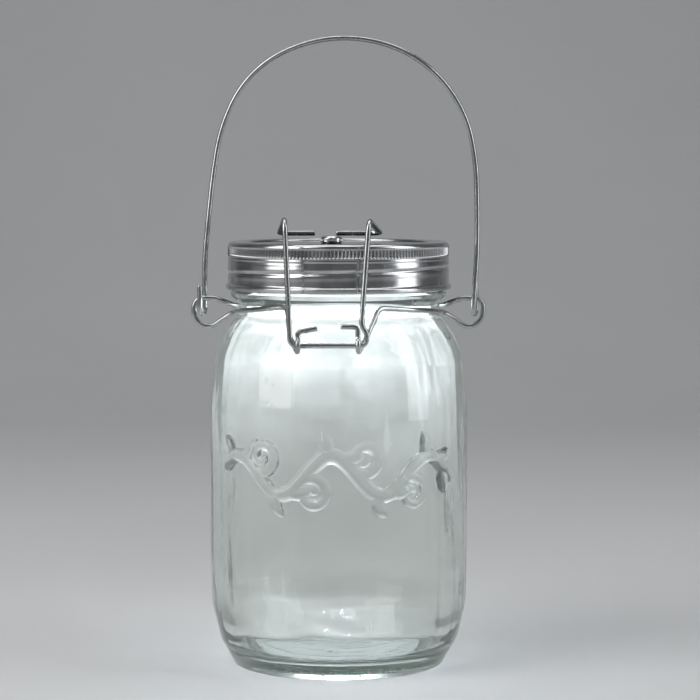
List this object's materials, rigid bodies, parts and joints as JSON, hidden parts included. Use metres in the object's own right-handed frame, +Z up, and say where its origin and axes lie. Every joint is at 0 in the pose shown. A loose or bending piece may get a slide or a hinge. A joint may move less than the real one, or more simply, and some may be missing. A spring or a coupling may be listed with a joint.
{
  "type": "mason jar lantern",
  "caption": "Clear screw-band preserving jar with a solar lamp puck in its lid, a wire clip over the lid and a swinging wire carrying bail.",
  "frame": {"origin": "on the jar's axis, at the plane that the base ring stands on", "axes": "+Z up along the jar's axis, -Y towards the front clip, +X to the right seen from the front"},
  "size_m": [0.117, 0.1049, 0.2493],
  "materials": {
    "jar_glass": "clear moulded",
    "steel_wire": "zinc plated, satin",
    "band_steel": "tinned, satin",
    "seal_rubber": "matte",
    "housing_plastic": "satin moulded",
    "clear_window": "clear",
    "dark_plastic": "matte",
    "solar_cell": "dark blue, glossy",
    "board": "solder mask",
    "chip": "moulded",
    "ferrite": "ferrite",
    "reed_glass": "clear",
    "battery_sleeve": "shrink sleeve",
    "contact": "nickel plated",
    "screw_steel": "zinc plated",
    "lead_insulation": "insulation",
    "magnet_chrome": "nickel plated, polished",
    "lamp_lens": "clear dome"
  },
  "bodies": {
    "jar": {"glass_jar": "jar_glass", "neck_wire": "steel_wire"},
    "bail": {"bail_handle": "steel_wire"},
    "clip": {"front_clip": "steel_wire"},
    "lid": {"lid_band": "band_steel", "seal_ring": "seal_rubber", "lamp_housing": "housing_plastic", "solar_cover": "clear_window", "cell_plate": "dark_plastic", "solar_cells": "solar_cell", "housing_base": "housing_plastic", "led_front_left": "lamp_lens", "led_front_right": "lamp_lens", "led_back_left": "lamp_lens", "led_back_right": "lamp_lens", "circuit_board": "board", "charge_controller": "chip", "inductor": "ferrite", "reed_switch": "reed_glass", "battery": "battery_sleeve", "battery_contact_plus": "contact", "battery_contact_minus": "contact", "base_screws": "screw_steel", "board_screws": "screw_steel", "solar_leads": "lead_insulation"},
    "magnet": {"switch_magnet": "magnet_chrome"}
  },
  "joints": [
    {"name": "bail_swing", "type": "hinge", "parent": "jar", "child": "bail", "pos_m": [0, 0, 0.1455], "axis": [1, 0, 0], "range_deg": [-145, 145]},
    {"name": "clip_swing", "type": "hinge", "parent": "jar", "child": "clip", "pos_m": [0, -0.0505, 0.1302], "axis": [1, 0, 0], "range_deg": [0, 175]},
    {"name": "lid_turn", "type": "hinge", "parent": "jar", "child": "lid", "pos_m": [0, 0, 0.15], "axis": [0, 0, 1], "range_deg": [0, 360]},
    {"name": "magnet_slide", "type": "slide", "parent": "lid", "child": "magnet", "axis": [0, 1, 0], "range_m": [0, 0.024]}
  ]
}
